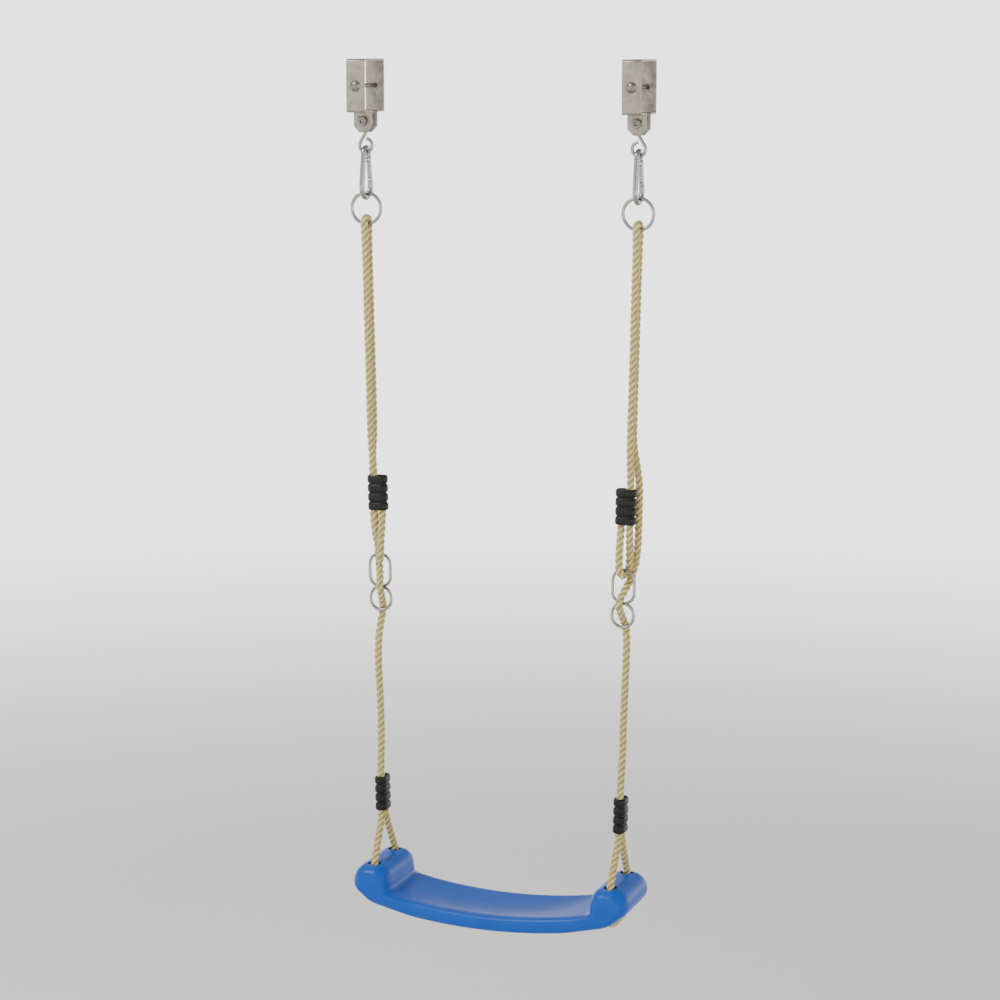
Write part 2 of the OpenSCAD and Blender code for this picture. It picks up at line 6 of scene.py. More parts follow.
import bmesh
import bpy
import numpy as np
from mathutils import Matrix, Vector

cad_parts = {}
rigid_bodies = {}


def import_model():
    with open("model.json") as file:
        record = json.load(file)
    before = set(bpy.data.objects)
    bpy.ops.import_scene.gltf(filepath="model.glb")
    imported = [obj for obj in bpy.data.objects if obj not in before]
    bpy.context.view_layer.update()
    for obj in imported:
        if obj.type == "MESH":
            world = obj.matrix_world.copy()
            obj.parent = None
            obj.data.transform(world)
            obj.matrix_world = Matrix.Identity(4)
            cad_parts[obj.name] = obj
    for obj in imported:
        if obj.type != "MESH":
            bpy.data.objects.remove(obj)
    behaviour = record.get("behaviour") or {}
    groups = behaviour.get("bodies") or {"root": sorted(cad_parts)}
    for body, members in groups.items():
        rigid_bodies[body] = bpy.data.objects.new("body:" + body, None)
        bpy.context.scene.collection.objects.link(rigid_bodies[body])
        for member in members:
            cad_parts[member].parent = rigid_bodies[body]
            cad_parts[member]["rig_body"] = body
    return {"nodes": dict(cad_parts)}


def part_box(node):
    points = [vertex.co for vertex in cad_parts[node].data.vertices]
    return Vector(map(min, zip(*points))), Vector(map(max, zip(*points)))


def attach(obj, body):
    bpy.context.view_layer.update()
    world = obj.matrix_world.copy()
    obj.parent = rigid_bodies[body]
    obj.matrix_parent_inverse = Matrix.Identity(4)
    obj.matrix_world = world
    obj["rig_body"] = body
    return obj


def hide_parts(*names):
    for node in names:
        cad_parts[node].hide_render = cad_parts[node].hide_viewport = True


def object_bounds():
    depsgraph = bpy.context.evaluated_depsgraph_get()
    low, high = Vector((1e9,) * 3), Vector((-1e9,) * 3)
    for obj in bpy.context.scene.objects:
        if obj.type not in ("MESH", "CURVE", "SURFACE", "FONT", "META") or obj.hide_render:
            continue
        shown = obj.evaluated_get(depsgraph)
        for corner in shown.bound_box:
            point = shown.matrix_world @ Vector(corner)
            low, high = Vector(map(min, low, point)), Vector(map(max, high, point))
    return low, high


bl_info = {
    "name": "Garden Board Swing",
    "version": (1, 0, 0),
    "blender": (4, 5, 0),
    "location": "3D View > Sidebar > Swing",
    "description": "Builds the ropes, fittings and seat of a board swing",
    "category": "Add Mesh",
}

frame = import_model()
CAD_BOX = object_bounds()
MM = 0.001
SIDES = {"left": -1, "right": 1}
SEAT_LOW, SEAT_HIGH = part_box("seat")

# The line that each rope hangs along, in millimetres: half the clamps' spacing at the ring, and its lean
LINE_TOP_X = 206.5
LINE_TOP_Z = -164.15
LINE_LEAN = 22.5 / 981.85
TILT_Z = -1146
INSET = 6

# The rope's turn round the adjuster's top wire and its bight over the ring, in millimetres
EYE_Z = -652
EYE_RADIUS = 8.85
EYE_HALF_WIDTH = 4.5
BIGHT_RADIUS = 8.6

# How square the seat's rolled edges are (2 is round), and the share of a raised end left on its front face
ROLL = 2.3
END_FACE = 0.5

# The seat's own sizes in millimetres: where its pan ends, its raised ends, and twice each curve's radius
PAN_END = 138
BOSS_IN = 157
BOSS_TOP = -1115
BOSS_MIDDLE_Z = -1151
END_ROUND = 30
DOME_RADIUS = 26
PAN_CURVE = 1542
BASE_CURVE = 1660

# The rope's room in the seat: its radius at the level where the seat tilts, and how fast it widens
ROOM_RADIUS = 6.5
ROOM_FLARE = 0.11

# One side's rope in millimetres: distance out from the hanging line, then Y and Z
TAIL = [(-12.2, 0, -545), (-12.2, 0, -565), (-12.2, 0, -590), (-12, -3.5, -608), (-11.5, -7.5, -630)]
EYE_BACK = [(-0.5, 7.5, -630), (0, 3.5, -608), (0.2, 0, -590), (0.2, 0, -560), (0.2, 0, -530),
            (0, -3, -505), (0, -6.3, -475), (0, -6.3, -420), (0, -6.3, -360), (0, -6.3, -300),
            (0, -6.3, -240), (0, -7, -195)]
DOWN = [(0, 7, -195), (0, 6.3, -240), (0, 6.3, -300), (0, 6.3, -360), (0, 6.3, -420), (1, 6.8, -470),
        (5, 11, -500), (8, 15.8, -528), (9, 16.5, -560), (9, 16.5, -592), (8, 18, -620), (5, 20.5, -645),
        (1, 14, -666), (-5, 1.5, -684), (-9, -10.4, -702), (-7.5, 0, -720), (-4.5, 10.4, -737),
        (-1.5, 8.5, -755), (0.5, 3, -780), (1, 0, -815), (0, 0, -870), (0, 0, -925), (0, -3, -958),
        (0, -6.2, -985), (0, -6.2, -1015), (0, -6.2, -1046), (0, -13, -1064), (0, -24, -1084),
        (0, -34, -1102)]
IN_SEAT = [(0, -40.5, -1115), (0, -43, -1130), (0, -43, -1146), (0, -40.5, -1160), (0, -33, -1171),
           (0, -21, -1175.5), (0, 0, -1176), (0, 21, -1175.5), (0, 33, -1171), (0, 40.5, -1160),
           (0, 43, -1146), (0, 43, -1130), (0, 40.5, -1115)]
BRIDLE_BACK = [(0, 34, -1102), (0, 24, -1084), (0, 13, -1064), (0, 6.2, -1046), (0, 6.2, -1020),
               (0, 6.2, -996)]


# In metres: where the camera stands, and each light's name, place, size and power in watts
CAMERA_PLACE = (1.3354, -3.759, 0.1041)
LIGHTS = [("key", (-2.2, -2.6, 2.6), 1.8, 165),
          ("fill", (3.2, -2.2, 0.6), 2.4, 25),
          ("back", (-1.6, 2.6, 2.2), 2.0, 22)]
LIT_POINT = (0, 0, -0.6)
FLOOR_HALF = 9.0


def length(name, default, description, unit="LENGTH"):
    """A size in metres that a user may change."""
    return bpy.props.FloatProperty(name=name, description=description, default=default, unit=unit)


def hue(name, default, description):
    """A colour that a user may change, kept as sRGB hex."""
    return bpy.props.StringProperty(name=name, description=description, default=default, maxlen=7)


class RopeSettings(bpy.types.PropertyGroup):
    """Sizes and colours of the laid rope."""
    diameter: length("Diameter", 0.012, "Diameter of the rope")
    lay: length("Lay", 0.029, "Length in which one strand goes once round the rope")
    step: length("Step", 0.002, "Distance between two rings of the rope's mesh")
    light: hue("Light yarn", "#ddcd8e", "Colour of the yarns on the strands' crowns")
    dark: hue("Dark yarn", "#b09c59", "Colour of the darker yarns")
    # The groove colour is painted shade, laid into the grooves between the strands
    groove_shade: hue("Groove", "#7d6a38", "Colour between the strands")


class FittingSettings(bpy.types.PropertyGroup):
    """Sizes and colours of the steel and rubber fittings."""
    hook_wire: length("Hook wire", 0.005, "Wire of the S hooks")
    snap_wire: length("Snap hook wire", 0.008, "Wire of the snap hooks")
    sleeve_height: length("Sleeve height", 0.054, "Height of the rubber sleeves")
    sleeve_ribs: bpy.props.IntProperty(name="Sleeve ribs", description="Ribs on each sleeve", default=4)
    edge: length("Edge", 0.0004, "Rounding of the steel parts' edges")
    strap: hue("Strap", "#958c81", "Galvanised strip")
    wire: hue("Wire", "#aca8a1", "Zinc-plated wire and bolts")
    rubber: hue("Rubber", "#0d0c0a", "Rubber of the sleeves")
    nylon: hue("Nylon", "#e8e6df", "Nylon of the bushes")


class SeatSettings(bpy.types.PropertyGroup):
    """Sizes and colour of the moulded seat."""
    length: length("Length", SEAT_HIGH.x - SEAT_LOW.x, "Overall length of the seat")
    depth: length("Depth", SEAT_HIGH.y - SEAT_LOW.y, "Depth of the seat, front to back")
    thickness: length("Thickness", 0.024, "Thickness of the pan at its middle")
    edge: length("Edge radius", 0.010, "Radius of the rolled front and rear edges")
    dish: length("Dish", 0.004, "How far the pan's top is dished")
    blue: hue("Colour", "#0044a0", "Colour of the moulded seat")


class StageSettings(bpy.types.PropertyGroup):
    """The floor, the lights and the camera."""
    floor_height: length("Floor height", -1.62, "Height of the floor under the beam's underside")
    floor: hue("Floor", "#f2f1ee", "Colour of the floor")
    lens: bpy.props.FloatProperty(name="Lens", description="Focal length in mm", default=100)


def linear(code):
    """An sRGB hex colour as linear RGBA."""
    parts = [int(code[k:k + 2], 16) / 255 for k in (1, 3, 5)]
    return tuple(c / 12.92 if c <= 0.04045 else ((c + 0.055) / 1.055) ** 2.4 for c in parts) + (1,)


def add(material, kind, inputs=None, **settings):
    """Adds a shader node. An input that is a socket is linked, and any other is set."""
    made = material.node_tree.nodes.new("ShaderNode" + kind)
    for name, value in settings.items():
        setattr(made, name, value)
    for name, value in (inputs or {}).items():
        if isinstance(value, bpy.types.NodeSocket):
            material.node_tree.links.new(value, made.inputs[name])
        else:
            made.inputs[name].default_value = value
    return made


def blank(name):
    """An empty node material, with its output's surface socket still free."""
    material = bpy.data.materials.new(name)
    material.use_nodes = True
    material.node_tree.nodes.clear()
    return material


def surface(material, inputs):
    """Gives a material its shader."""
    shader = add(material, "BsdfPrincipled", inputs)
    add(material, "OutputMaterial", {"Surface": shader.outputs[0]})
    return material


def per_metre(size_mm):
    """Texture scale whose features are that many millimetres apart."""
    return 1000 / size_mm


def galvanised_strip():
    """Hot-dip galvanised steel strip. The zinc freezes in dull crystals, so its grey changes from patch to
    patch, and it goes chalky white in the weather."""
    m = blank("hot_dip_galvanised_steel")
    base = bpy.context.scene.swing_fittings.strap
    place = add(m, "TexCoord").outputs["Object"]
    crystals = add(m, "TexVoronoi", {"Vector": place, "Scale": per_metre(6)}, feature="F1")
    clouds = add(m, "TexNoise", {"Vector": place, "Scale": per_metre(18), "Detail": 5.0})
    grain = add(m, "TexNoise", {"Vector": place, "Scale": per_metre(0.9), "Detail": 3.0})
    spangle = add(m, "Mix", {0: crystals.outputs["Color"], 6: linear(base), 7: linear("#7d766c")},
                  data_type="RGBA")
    chalk = add(m, "MapRange", {"Value": clouds.outputs[0], "From Min": 0.45, "From Max": 0.75,
                                "To Max": 0.5})
    colour = add(m, "Mix", {0: chalk.outputs[0], 6: spangle.outputs[2], 7: linear("#a9a198")},
                 data_type="RGBA")
    rough = add(m, "MapRange", {"Value": clouds.outputs[0], "To Min": 0.34, "To Max": 0.6})
    bump = add(m, "Bump", {"Height": grain.outputs[0], "Strength": 0.25, "Distance": 0.0002})
    return surface(m, {"Base Color": colour.outputs[2], "Metallic": 0.85, "Roughness": rough.outputs[0],
                       "Normal": bump.outputs[0]})


def zinc_wire():
    """Bright zinc-plated round wire. It is drawn through a die, so it is smooth, with faint patches where
    the plating has dulled."""
    m = blank("zinc_plated_steel_wire")
    base = bpy.context.scene.swing_fittings.wire
    place = add(m, "TexCoord").outputs["Object"]
    patches = add(m, "TexNoise", {"Vector": place, "Scale": per_metre(7), "Detail": 4.0})
    grain = add(m, "TexNoise", {"Vector": place, "Scale": per_metre(0.7), "Detail": 2.0})
    colour = add(m, "Mix", {0: patches.outputs[0], 6: linear(base), 7: linear("#827f79")}, data_type="RGBA")
    rough = add(m, "MapRange", {"Value": patches.outputs[0], "To Min": 0.18, "To Max": 0.42})
    bump = add(m, "Bump", {"Height": grain.outputs[0], "Strength": 0.12, "Distance": 0.0002})
    return surface(m, {"Base Color": colour.outputs[2], "Metallic": 1.0, "Roughness": rough.outputs[0],
                       "Normal": bump.outputs[0]})


def zinc_bolt():
    """Zinc-plated cold-headed bolts and nuts. They are greyer than the wire and lightly rubbed."""
    m = blank("zinc_plated_bolt_steel")
    place = add(m, "TexCoord").outputs["Object"]
    patches = add(m, "TexNoise", {"Vector": place, "Scale": per_metre(3), "Detail": 5.0})
    colour = add(m, "Mix", {0: patches.outputs[0], 6: linear("#8a867f"), 7: linear("#5f5c57")},
                 data_type="RGBA")
    rough = add(m, "MapRange", {"Value": patches.outputs[0], "To Min": 0.25, "To Max": 0.5})
    return surface(m, {"Base Color": colour.outputs[2], "Metallic": 1.0, "Roughness": rough.outputs[0]})


def black_rubber():
    """Moulded EPDM rubber. It is a warm near-black, matt, with a fine mould texture and a greyish bloom."""
    m = blank("moulded_epdm_rubber")
    base = bpy.context.scene.swing_fittings.rubber
    place = add(m, "TexCoord").outputs["Object"]
    bloom = add(m, "TexNoise", {"Vector": place, "Scale": per_metre(9), "Detail": 5.0})
    grain = add(m, "TexNoise", {"Vector": place, "Scale": per_metre(0.6), "Detail": 3.0})
    amount = add(m, "MapRange", {"Value": bloom.outputs[0], "From Min": 0.45, "From Max": 0.8,
                                 "To Max": 0.6})
    colour = add(m, "Mix", {0: amount.outputs[0], 6: linear(base), 7: linear("#231f1b")}, data_type="RGBA")
    bump = add(m, "Bump", {"Height": grain.outputs[0], "Strength": 0.35, "Distance": 0.0002})
    return surface(m, {"Base Color": colour.outputs[2], "Roughness": 0.4, "IOR": 1.52,
                       "Specular IOR Level": 0.22, "Normal": bump.outputs[0]})


def nylon():
    """Moulded nylon bush. It is milky, so a little light goes into it."""
    m = blank("moulded_nylon")
    base = bpy.context.scene.swing_fittings.nylon
    place = add(m, "TexCoord").outputs["Object"]
    marks = add(m, "TexNoise", {"Vector": place, "Scale": per_metre(2), "Detail": 3.0})
    colour = add(m, "Mix", {0: marks.outputs[0], 6: linear(base), 7: linear("#d4d0c4")}, data_type="RGBA")
    return surface(m, {"Base Color": colour.outputs[2], "Roughness": 0.42, "IOR": 1.53,
                       "Subsurface Weight": 0.1, "Subsurface Scale": 0.002})


def laid_rope():
    """Three-strand laid rope of hemp-coloured spun yarn. Fine yarns run nearly along the rope over fat
    strands, with painted shade darkening the grooves between them, and a dry, fuzzy surface. The yarns are
    drawn 1.1 mm apart."""
    m = blank("hemp_coloured_laid_rope")
    rope = bpy.context.scene.swing_rope
    along = add(m, "UVMap", uv_map="lay").outputs[0]
    place = add(m, "TexCoord").outputs["Object"]
    groove_shade = add(m, "Attribute", attribute_name="groove_shade").outputs["Fac"]
    yarns = add(m, "TexWave", {"Vector": along, "Scale": per_metre(1.1) / 20, "Distortion": 2.2,
                               "Detail": 2.0, "Detail Scale": 1.5}, bands_direction="X")
    stretched = add(m, "Mapping", {"Vector": along, "Scale": (1, 0.12, 1)})
    fibres = add(m, "TexNoise", {"Vector": stretched.outputs[0], "Scale": per_metre(0.5), "Detail": 4.0})
    patches = add(m, "TexNoise", {"Vector": place, "Scale": per_metre(35), "Detail": 3.0})
    mixed = add(m, "Mix", {0: 0.5, 2: yarns.outputs["Fac"], 3: fibres.outputs[0]}, data_type="FLOAT")
    yarn = add(m, "Mix", {0: mixed.outputs[0], 6: linear(rope.dark), 7: linear(rope.light)},
               data_type="RGBA")
    faded = add(m, "Mix", {0: patches.outputs[0], 6: yarn.outputs[2], 7: linear("#cdbb78")},
                data_type="RGBA")
    # Painted shade: the deeper a point lies in a groove, the more it takes the groove colour
    groove_shade_amount = add(m, "MapRange", {"Value": groove_shade, "From Min": 0.25, "From Max": 1.0, "To Max": 0.8})
    colour = add(m, "Mix", {0: groove_shade_amount.outputs[0], 6: faded.outputs[2], 7: linear(rope.groove_shade)},
                 data_type="RGBA")
    bump = add(m, "Bump", {"Height": mixed.outputs[0], "Strength": 0.8, "Distance": 0.0005})
    return surface(m, {"Base Color": colour.outputs[2], "Roughness": 0.86, "Sheen Weight": 0.25,
                       "Sheen Roughness": 0.5, "Normal": bump.outputs[0]})


def moulded_seat():
    """Blow-moulded HDPE. It is a glossy through-dyed blue with a slight orange peel and soft handling
    marks that break up the highlights."""
    m = blank("blow_moulded_hdpe")
    base = bpy.context.scene.swing_seat.blue
    place = add(m, "TexCoord").outputs["Object"]
    peel = add(m, "TexNoise", {"Vector": place, "Scale": per_metre(3.2), "Detail": 2.0})
    marks = add(m, "TexNoise", {"Vector": place, "Scale": per_metre(26), "Detail": 3.0})
    colour = add(m, "Mix", {0: marks.outputs[0], 6: linear(base), 7: linear("#004fac")}, data_type="RGBA")
    rough = add(m, "MapRange", {"Value": marks.outputs[0], "To Min": 0.3, "To Max": 0.42})
    bump = add(m, "Bump", {"Height": peel.outputs[0], "Strength": 0.06, "Distance": 0.0004})
    return surface(m, {"Base Color": colour.outputs[2], "Roughness": rough.outputs[0], "IOR": 1.54,
                       "Specular IOR Level": 0.18, "Normal": bump.outputs[0]})


def pale_floor():
    """Painted studio floor, matt and nearly white, with faint clouds. It runs out into the studio's
    light, so no edge shows behind the swing."""
    m = blank("matt_floor_paint")
    place = add(m, "TexCoord").outputs["Object"]
    clouds = add(m, "TexNoise", {"Vector": place, "Scale": 1.3, "Detail": 4.0})
    base = bpy.context.scene.swing_stage.floor
    colour = add(m, "Mix", {0: clouds.outputs[0], 6: linear(base), 7: linear("#f0efec")}, data_type="RGBA")
    paint = add(m, "BsdfPrincipled", {"Base Color": colour.outputs[2], "Roughness": 0.7})
    away = add(m, "VectorMath", {0: place}, operation="LENGTH")
    fade = add(m, "MapRange", {"Value": away.outputs["Value"], "From Min": 2.2, "From Max": 6.5},
               interpolation_type="SMOOTHSTEP")
    clear = add(m, "BsdfTransparent")
    shown = add(m, "MixShader", {0: fade.outputs[0], 1: paint.outputs[0], 2: clear.outputs[0]})
    add(m, "OutputMaterial", {"Surface": shown.outputs[0]})
    return m


MADE = {}


def finish_of(make):
    """A material, made once."""
    if make not in MADE:
        MADE[make] = make()
    return MADE[make]


def piece(name, vertices, faces, make, body, slot_name, node=None, sharp=35):
    """A mesh object with its finish, riding on a body and standing for a CAD node."""
    mesh = bpy.data.meshes.new(name)
    mesh.from_pydata([tuple(v) for v in vertices], [], faces)
    mesh.update()
    obj = bpy.data.objects.new(name, mesh)
    bpy.context.scene.collection.objects.link(obj)
    return dressed(obj, make, body, node, sharp)


def dressed(obj, make, body, node=None, sharp=35):
    """Gives an object its finish, body and the node that it stands for."""
    obj.data.materials.clear()
    obj.data.materials.append(finish_of(make))
    obj.data.shade_smooth()
    obj.data.set_sharp_from_angle(angle=math.radians(sharp))
    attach(obj, body)
    if node:
        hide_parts(node)
    return obj


def line_x(z):
    """Distance of the hanging line from the middle at height z, in millimetres."""
    return LINE_TOP_X - LINE_LEAN * (LINE_TOP_Z - z)


def placed(side, route):
    """A route in metres from its distances out from the hanging line."""
    return np.array([(side * (line_x(z) + out), y, z) for out, y, z in route]) * MM


def half_turn(out_a, out_b, z, radius, start, sign):
    """Half a turn round a wire that runs along X, below it (sign -1) or above it (sign 1)."""
    turn = math.pi / 8
    return [(out_a + (out_b - out_a) * k / 8, radius * start * math.cos(turn * k),
             z + sign * radius * math.sin(turn * k)) for k in range(9)]


def smooth_path(points, step):
    """A smooth curve through the points, with its own points a step apart."""
    ends = [2 * points[0] - points[1], *points, 2 * points[-1] - points[-2]]
    fine = []
    for a, b, c, d in zip(ends, ends[1:], ends[2:], ends[3:]):
        knots = np.cumsum([0, *(math.sqrt(np.linalg.norm(q - p)) for p, q in ((a, b), (b, c), (c, d)))])
        for t in np.linspace(knots[1], knots[2], 24, endpoint=False):
            ab = (a * (knots[1] - t) + b * (t - knots[0])) / (knots[1] - knots[0])
            bc = (b * (knots[2] - t) + c * (t - knots[1])) / (knots[2] - knots[1])
            cd = (c * (knots[3] - t) + d * (t - knots[2])) / (knots[3] - knots[2])
            left = (ab * (knots[2] - t) + bc * (t - knots[0])) / (knots[2] - knots[0])
            right = (bc * (knots[3] - t) + cd * (t - knots[1])) / (knots[3] - knots[1])
            fine.append((left * (knots[2] - t) + right * (t - knots[1])) / (knots[2] - knots[1]))
    fine = np.array([*fine, points[-1]])
    run = np.concatenate([[0], np.cumsum(np.linalg.norm(np.diff(fine, axis=0), axis=1))])
    at = np.linspace(0, run[-1], max(2, round(run[-1] / step)))
    return np.stack([np.interp(at, run, fine[:, k]) for k in range(3)], axis=1), at


def side_axes(points):
    """Two directions square to a route that turn as little as they can along it."""
    ahead = np.gradient(points, axis=0)
    ahead /= np.linalg.norm(ahead, axis=1)[:, None]
    first = np.cross(ahead[0], (0.31, 0.77, 0.55))
    across = [first / np.linalg.norm(first)]
    for t in ahead[1:]:
        turned = across[-1] - np.dot(across[-1], t) * t
        across.append(turned / np.linalg.norm(turned))
    across = np.array(across)
    return across, np.cross(ahead, across)


def swept(points, radii, angles):
    """Vertices and faces of a closed tube along a route, with a radius for each ring and side."""
    across, up = side_axes(points)
    rings = (points[:, None] + radii[..., None] * (np.cos(angles)[..., None] * across[:, None]
                                                   + np.sin(angles)[..., None] * up[:, None]))
    count, sides = radii.shape
    faces = [(i * sides + k, i * sides + (k + 1) % sides, (i + 1) * sides + (k + 1) % sides,
              (i + 1) * sides + k) for i in range(count - 1) for k in range(sides)]
    faces += [tuple(range(sides))[::-1], tuple(range((count - 1) * sides, count * sides))]
    return rings.reshape(-1, 3), faces


def wire(points, radius, sides=24, chamfer=0.0006):
    """A round wire along a route, with its two ends chamfered."""
    points = np.array(points)
    ahead, behind = points[1] - points[0], points[-2] - points[-1]
    start = points[0] + ahead / np.linalg.norm(ahead) * chamfer
    end = points[-1] + behind / np.linalg.norm(behind) * chamfer
    points = np.array([points[0], start, *points[1:-1], end, points[-1]])
    radii = np.full((len(points), sides), radius)
    radii[[0, -1]] = radius - chamfer
    angles = np.broadcast_to(np.linspace(0, 2 * math.pi, sides, endpoint=False), radii.shape)
    return swept(points, radii, angles)


class SWING_OT_camera(bpy.types.Operator):
    """Places the camera in front of the swing and to its right, a little above the beam's underside."""
    bl_idname = "swing.camera"
    bl_label = "Camera"

    def execute(self, context):
        low, high = CAD_BOX
        data = bpy.data.cameras.new("camera")
        data.lens = context.scene.swing_stage.lens
        data.sensor_width = 36
        camera = bpy.data.objects.new("camera", data)
        camera.location = CAMERA_PLACE
        aim = (low + high) / 2 - camera.location
        camera.rotation_euler = aim.to_track_quat("-Z", "Y").to_euler()
        context.scene.collection.objects.link(camera)
        context.scene.camera = camera
        return {"FINISHED"}


class SWING_OT_ropes(bpy.types.Operator):
    """Makes the two ropes: three strands laid round each other, from the eye up over the ring, down
    through the adjuster and round through the seat."""
    bl_idname = "swing.ropes"
    bl_label = "Ropes"

    def execute(self, context):
        rope = context.scene.swing_rope
        for name, side in SIDES.items():
            eye = half_turn(-INSET - EYE_HALF_WIDTH, -INSET + EYE_HALF_WIDTH, EYE_Z, EYE_RADIUS, -1, -1)
            bight = half_turn(0, 0, LINE_TOP_Z, BIGHT_RADIUS, -1, 1)
            route = TAIL + eye + EYE_BACK + bight + DOWN + IN_SEAT + BRIDLE_BACK
            points, run = smooth_path(placed(side, route), rope.step)
            sides = 24
            round_it = np.linspace(0, 2 * math.pi, sides, endpoint=False)
            turn = 2 * math.pi * run[:, None] / rope.lay
            # Three touching strands fill the rope's circle, and settle into shallow grooves
            radius = rope.diameter / 2
            strand = radius * 0.4641
            offset = np.remainder(round_it[None], 2 * math.pi / 3) - math.pi / 3
            reach = radius - strand
            bulge = np.sqrt(np.maximum(0, strand ** 2 - (reach * np.sin(offset)) ** 2))
            lobe = np.maximum(reach * np.cos(offset) + bulge, radius * 0.74)
            radii = np.repeat(lobe, len(points), axis=0)
            angles = round_it[None] + turn
            vertices, faces = swept(points, radii, angles)
            obj = piece(f"{name}_laid_rope", vertices, faces, laid_rope, f"{name}_line", "hemp_rope",
                        f"{name}_rope", sharp=80)
            mesh = obj.data
            # How deep each point lies in a groove, which the rope material turns into painted shade
            depth = np.clip((radius - radii) / (radius * 0.26), 0, 1)
            mesh.attributes.new("groove_shade", "FLOAT", "POINT").data.foreach_set(
                "value", depth.ravel().astype(np.float32))
            self.lay_map(mesh, run, sides, rope.lay, radius)
        return {"FINISHED"}

    def lay_map(self, mesh, run, sides, lay, radius):
        """A map in metres, round the rope and along it, that doesn't turn with the strands."""
        layer = mesh.uv_layers.new(name="lay")
        for face in mesh.polygons:
            rows = [mesh.loops[i].vertex_index // sides for i in face.loop_indices]
            columns = [mesh.loops[i].vertex_index % sides for i in face.loop_indices]
            wraps = len(face.vertices) == 4 and max(columns) - min(columns) > 1
            for i, row, column in zip(face.loop_indices, rows, columns):
                column += sides if wraps and column == 0 else 0
                angle = 2 * math.pi * (column / sides + run[row] / lay)
                layer.data[i].uv = (angle * radius, run[row])


class SWING_OT_hooks(bpy.types.Operator):
    """Makes the two S hooks from round wire: an upper loop, a diagonal and a lower loop."""
    bl_idname = "swing.hooks"
    bl_label = "S hooks"

    def execute(self, context):
        radius = context.scene.swing_fittings.hook_wire / 2
        up_r, low_r, up_z, low_z = 8.8, 9.75, -15.5, -51
        lean = math.asin((up_r + low_r) / (up_z - low_z))
        gap = 5.6
        up_turn = 2 * math.pi - math.acos(1 - gap / up_r)
        low_turn = 2 * math.pi - math.acos(1 - gap / low_r)
        for name, side in SIDES.items():
            up = [(up_r * math.cos(a), 0, up_z + up_r * math.sin(a))
                  for a in np.linspace(up_turn - lean, -lean, 64)]
            low = [(low_r * math.cos(a), 0, low_z + low_r * math.sin(a))
                   for a in np.linspace(math.pi - lean, math.pi - lean + low_turn, 64)]
            route = np.array([(side * LINE_TOP_X - side * x, y, z) for x, y, z in up + low]) * MM
            piece(f"{name}_s_hook", *wire(route, radius), zinc_wire, "root", "zinc_wire", f"{name}_hook")
        return {"FINISHED"}


class SWING_OT_snap_hooks(bpy.types.Operator):
    """Makes the bodies of the two snap hooks: a pear-shaped wire loop with a flat tongue at each end."""
    bl_idname = "swing.snap_hooks"
    bl_label = "Snap hooks"

    def execute(self, context):
        radius = context.scene.swing_fittings.snap_wire / 2
        top_r, low_r, top_z, low_z = 9, 16, -62.95, -109.95
        lean = math.asin((low_r - top_r) / (top_z - low_z))
        leg = math.sqrt((top_z - low_z) ** 2 - (low_r - top_r) ** 2)
        pin, nose, tongue_length = 7, leg - 4.8, 5.2
        along = np.array((0, math.sin(lean), -math.cos(lean)))
        start = np.array((0, top_r * math.cos(lean), top_z + top_r * math.sin(lean)))
        outward = np.array((0, math.cos(lean), math.sin(lean)))
        for name, side in SIDES.items():
            top = [(0, top_r * math.cos(a), top_z + top_r * math.sin(a))
                   for a in np.linspace(lean, math.pi - lean, 40)]
            low = [(0, low_r * math.cos(a), low_z + low_r * math.sin(a))
                   for a in np.linspace(math.pi - lean, 2 * math.pi + lean, 56)]
            shift = np.array((side * LINE_TOP_X, 0, 0))
            route = (np.array([start + along * (pin - 4), *top, *low, start + along * nose]) + shift) * MM
            vertices, faces = wire(route, radius, 28)
            vertices = [tuple(v) for v in vertices]
            for first, last in ((pin - 5, pin + 2.6), (nose + 1, nose - tongue_length)):
                plate, plate_faces = self.tongue(start + shift, along, outward, first, last, 4, 3.4)
                faces = faces + [tuple(i + len(vertices) for i in f) for f in plate_faces]
                vertices += plate
            piece(f"{name}_snap_hook_body", vertices, faces, zinc_wire, f"{name}_carabiner", "zinc_wire",
                  f"{name}_snap_hook")
        return {"FINISHED"}

    def tongue(self, start, along, outward, first, last, thick, half_width):
        """A flat plate with a rounded end, in metres, from its own distances along the leg."""
        sign = 1 if last > first else -1
        round_r = min(half_width, abs(last - first) * 0.6)
        outline = [(first, half_width)]
        outline += [(last - sign * round_r * (1 - math.sin(a)),
                     (half_width - round_r) * np.sign(math.cos(a)) + round_r * math.cos(a))
                    for a in np.linspace(0, math.pi, 17)]
        outline.append((first, -half_width))
        points = []
        for x in (-thick / 2, thick / 2):
            points += [tuple((start + along * s + outward * w + np.array((x, 0, 0))) * MM)
                       for s, w in outline]
        n = len(outline)
        faces = [tuple(range(n)), tuple(range(2 * n - 1, n - 1, -1))]
        faces += [(k, k + n, (k + 1) % n + n, (k + 1) % n) for k in range(n)]
        return points, faces


